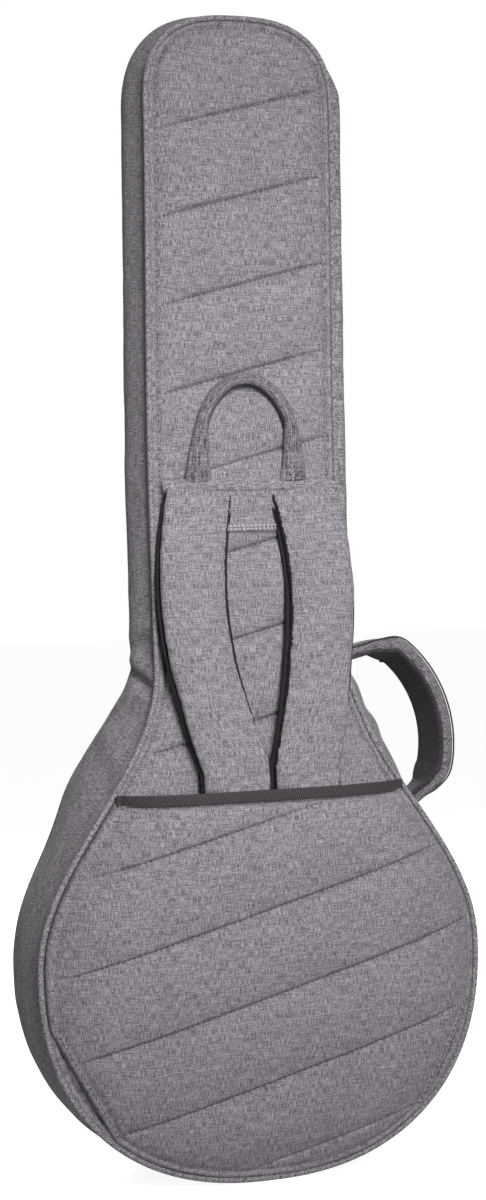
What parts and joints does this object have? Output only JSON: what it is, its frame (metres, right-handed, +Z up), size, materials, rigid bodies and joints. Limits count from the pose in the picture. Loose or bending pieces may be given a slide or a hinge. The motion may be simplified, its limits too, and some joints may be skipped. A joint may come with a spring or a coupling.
{
  "type": "padded gig bag",
  "caption": "Padded banjo gig bag with a round bout and long neck: quilted back with shoulder straps, pocket and haul loop, side handle and a zipped hinged front lid.",
  "frame": {"origin": "the point inside the top of the haul loop on the back, where a hook holds the hanging bag", "axes": "+X towards the side handle, -Y out of the back that carries the straps, +Y out of the front lid, +Z up towards the headstock end"},
  "size_m": [0.4038, 0.1715, 1.021],
  "materials": {
    "outer_cloth": "grey heather woven polyester",
    "foam": "closed-cell foam",
    "lining": "matte dark lining",
    "webbing": "ribbed charcoal webbing",
    "zip_coil": "nylon coil",
    "zip_metal": "dark plated metal",
    "buckle_plastic": "moulded acetal"
  },
  "bodies": {
    "case": {"back_panel": "outer_cloth", "back_foam": "foam", "back_lining": "lining", "gusset_bottom": "outer_cloth", "gusset_left": "outer_cloth", "gusset_right": "outer_cloth", "gusset_top": "outer_cloth", "gusset_foam": "foam", "gusset_lining": "lining", "back_piping": "outer_cloth", "pocket_panel": "outer_cloth", "pocket_binding": "webbing", "yoke_patch": "outer_cloth", "haul_tabs": "outer_cloth", "strap_anchors": "webbing", "strap_webbing": "webbing", "handle_tabs": "webbing", "zip_tape_body": "webbing", "zip_chain_body": "zip_coil", "lid_hinge": "outer_cloth", "neck_rest": "foam", "bottom_bumper": "foam", "headstock_pad": "foam"},
    "lid": {"lid_panel": "outer_cloth", "lid_foam_pad": "foam", "lid_lining": "lining", "front_piping": "outer_cloth", "zip_tape_lid": "webbing", "zip_chain_lid": "zip_coil", "front_pocket": "outer_cloth", "front_pocket_tape": "webbing", "front_pocket_chain": "zip_coil"},
    "neck_strap": {"neck_strap": "webbing"},
    "front_slider": {"front_slider": "zip_metal"},
    "front_puller": {"front_puller": "zip_metal"},
    "zip_slider_upper": {"zip_slider_upper": "zip_metal"},
    "zip_puller_upper": {"zip_puller_upper": "zip_metal"},
    "zip_slider_lower": {"zip_slider_lower": "zip_metal"},
    "zip_puller_lower": {"zip_puller_lower": "zip_metal"},
    "side_handle": {"handle_grip": "outer_cloth", "handle_lining": "lining", "handle_webbing": "webbing"},
    "haul_loop": {"haul_loop": "outer_cloth", "haul_loop_cord": "foam"},
    "strap_left_upper": {"strap_left_upper": "outer_cloth", "strap_left_mesh_upper": "lining"},
    "strap_left_lower": {"strap_left_lower": "outer_cloth", "strap_left_mesh_lower": "lining"},
    "strap_left_tail": {"strap_left_tail": "outer_cloth", "strap_left_buckle": "buckle_plastic"},
    "strap_right_upper": {"strap_right_upper": "outer_cloth", "strap_right_mesh_upper": "lining"},
    "strap_right_lower": {"strap_right_lower": "outer_cloth", "strap_right_mesh_lower": "lining"},
    "strap_right_tail": {"strap_right_tail": "outer_cloth", "strap_right_buckle": "buckle_plastic"}
  },
  "joints": [
    {"name": "lid_swing", "type": "hinge", "parent": "case", "child": "lid", "pos_m": [-0.1936, 0.1139, -0.492], "axis": [0, 0, 1], "range_deg": [0, 120]},
    {"name": "neck_strap_open", "type": "hinge", "parent": "case", "child": "neck_strap", "pos_m": [-0.046, 0.053, -0.179], "axis": [0, 0, 1], "range_deg": [0, 90]},
    {"name": "front_zip_slide", "type": "slide", "parent": "lid", "child": "front_slider", "axis": [-1, 0, 0], "range_m": [0, 0.2]},
    {"name": "front_puller_swing", "type": "hinge", "parent": "front_slider", "child": "front_puller", "pos_m": [0.108, 0.1424, -0.398], "axis": [1, 0, 0], "range_deg": [0, 150]},
    {"name": "upper_zip_slide", "type": "slide", "parent": "case", "child": "zip_slider_upper", "axis": [0, 0, 1], "range_m": [0, 0.19]},
    {"name": "upper_puller_swing", "type": "hinge", "parent": "zip_slider_upper", "child": "zip_puller_upper", "pos_m": [0.1046, 0.0759, 0.053], "axis": [0, -1, 0], "range_deg": [0, 150]},
    {"name": "lower_zip_slide", "type": "slide", "parent": "case", "child": "zip_slider_lower", "axis": [0, 0, -1], "range_m": [0, 0.21]},
    {"name": "lower_puller_swing", "type": "hinge", "parent": "zip_slider_lower", "child": "zip_puller_lower", "pos_m": [0.1046, 0.0759, 0.019], "axis": [0, -1, 0], "range_deg": [0, 150]},
    {"name": "side_handle_flop", "type": "hinge", "parent": "case", "child": "side_handle", "pos_m": [0.112, 0.06, -0.23], "axis": [0.3832, 0, -0.9237], "range_deg": [-40, 40]},
    {"name": "haul_loop_fold", "type": "hinge", "parent": "case", "child": "haul_loop", "pos_m": [0, -0.006, -0.075], "axis": [1, 0, 0], "range_deg": [0, 100]},
    {"name": "strap_left_lift", "type": "hinge", "parent": "case", "child": "strap_left_upper", "pos_m": [0.008, 0.003, -0.082], "axis": [-1, 0, 0], "range_deg": [0, 40]},
    {"name": "strap_left_bend", "type": "hinge", "parent": "strap_left_upper", "child": "strap_left_lower", "pos_m": [0.008, -0.00202, -0.21357], "axis": [-1, 0, 0], "range_deg": [-80, 0]},
    {"name": "strap_left_tuck", "type": "hinge", "parent": "strap_left_lower", "child": "strap_left_tail", "pos_m": [0.008, -0.02, -0.344], "axis": [-1, 0, 0], "range_deg": [0, 40]},
    {"name": "strap_right_lift", "type": "hinge", "parent": "case", "child": "strap_right_upper", "pos_m": [0.008, 0.003, -0.082], "axis": [-1, 0, 0], "range_deg": [0, 40]},
    {"name": "strap_right_bend", "type": "hinge", "parent": "strap_right_upper", "child": "strap_right_lower", "pos_m": [0.008, -0.00202, -0.21357], "axis": [-1, 0, 0], "range_deg": [-80, 0]},
    {"name": "strap_right_tuck", "type": "hinge", "parent": "strap_right_lower", "child": "strap_right_tail", "pos_m": [0.008, -0.02, -0.344], "axis": [-1, 0, 0], "range_deg": [0, 40]}
  ],
  "couplings": [
    {"joint": "neck_strap_open", "follows": "lid_swing", "ratio": 0.75},
    {"joint": "strap_left_bend", "follows": "strap_left_lift", "ratio": -2},
    {"joint": "strap_left_tuck", "follows": "strap_left_lift", "ratio": 1},
    {"joint": "strap_right_bend", "follows": "strap_right_lift", "ratio": -2},
    {"joint": "strap_right_tuck", "follows": "strap_right_lift", "ratio": 1}
  ]
}
